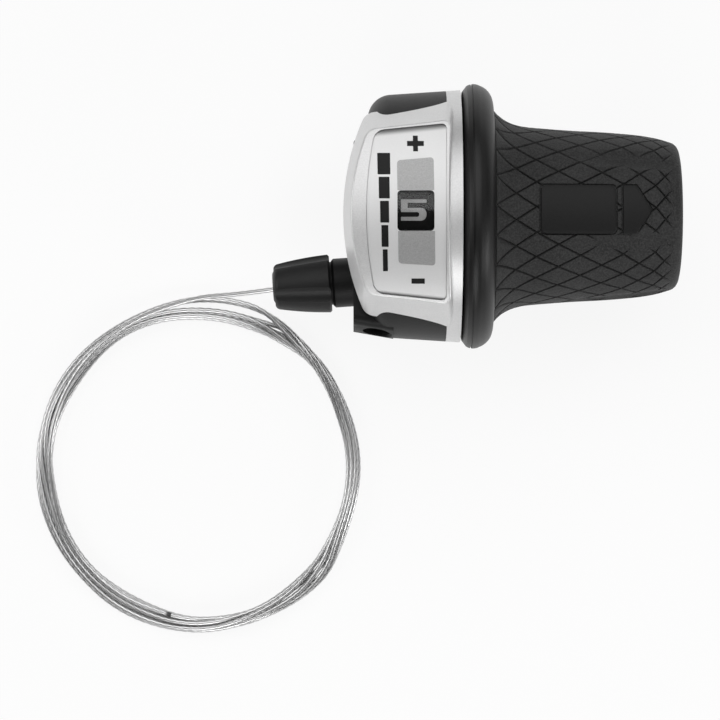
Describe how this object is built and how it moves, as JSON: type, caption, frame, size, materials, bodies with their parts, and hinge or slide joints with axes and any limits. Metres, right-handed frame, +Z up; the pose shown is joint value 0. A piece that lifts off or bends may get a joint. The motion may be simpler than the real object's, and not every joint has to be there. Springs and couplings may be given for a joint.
{
  "type": "twist grip gear shifter",
  "caption": "Handlebar twist grip gear shifter: a ribbed rubber sleeve turns a number ring under a window and a cam that draws an inner wire through a barrel adjuster; the spare wire is coiled.",
  "frame": {"origin": "on the handlebar axis, at the inboard end of the housing", "axes": "+X outboard along the bar, +Y forward away from the rider, +Z up through the number window"},
  "size_m": [0.1374, 0.1167, 0.0554],
  "materials": {
    "black_plastic": "satin black moulding",
    "collar_plastic": "satin black moulding",
    "silver_plastic": "satin silver metallic paint on plastic",
    "label_foil": "brushed silver foil with printed marks",
    "clear_plastic": "clear polished plastic",
    "number_plastic": "black with pale numbers",
    "grip_rubber": "matt black rubber with a diamond tread",
    "white_plastic": "natural acetal",
    "steel": "plain steel",
    "dark_steel": "blackened steel",
    "wire_steel": "stranded steel wire",
    "brass": "plain brass"
  },
  "bodies": {
    "housing": {"housing": "black_plastic", "top_cover": "silver_plastic", "face_label": "label_foil", "window_lens": "clear_plastic", "cover_screws": "steel", "clamp_screw": "dark_steel", "thread_insert": "brass", "inner_washer": "white_plastic", "outer_washer": "white_plastic", "retaining_ring": "dark_steel", "detent_spring": "steel", "wire_lead": "wire_steel", "wire_coil": "wire_steel"},
    "grip": {"grip_core": "collar_plastic", "grip_rubber": "grip_rubber", "number_ring": "number_plastic"},
    "carriage": {"cable_carriage": "white_plastic", "follower_pin": "steel", "wire_head": "wire_steel"},
    "adjuster_knob": {"adjuster_knob": "black_plastic", "adjuster_spring": "steel"},
    "adjuster_barrel": {"adjuster_barrel": "dark_steel"}
  },
  "joints": [
    {"name": "grip_twist", "type": "hinge", "parent": "housing", "child": "grip", "pos_m": [0, 0, 0], "axis": [1, 0, 0], "range_deg": [0, 88], "deforming": ["detent_spring"]},
    {"name": "carriage_slide", "type": "slide", "parent": "housing", "child": "carriage", "axis": [1, 0, 0], "range_m": [0, 0.0132]},
    {"name": "adjuster_turn", "type": "hinge", "parent": "housing", "child": "adjuster_knob", "pos_m": [0.003, -0.0132, -0.01449], "axis": [-0.9978, -0.0663, 0], "range_deg": [0, 1080]},
    {"name": "barrel_travel", "type": "slide", "parent": "adjuster_knob", "child": "adjuster_barrel", "axis": [-0.9978, -0.0663, 0], "range_m": [0, 0.0024], "deforming": ["adjuster_spring"]}
  ],
  "couplings": [
    {"joint": "carriage_slide", "follows": "grip_twist", "m_per_rad": 0.0085943},
    {"joint": "adjuster_turn", "follows": "barrel_travel", "rad_per_m": 7853.9}
  ]
}
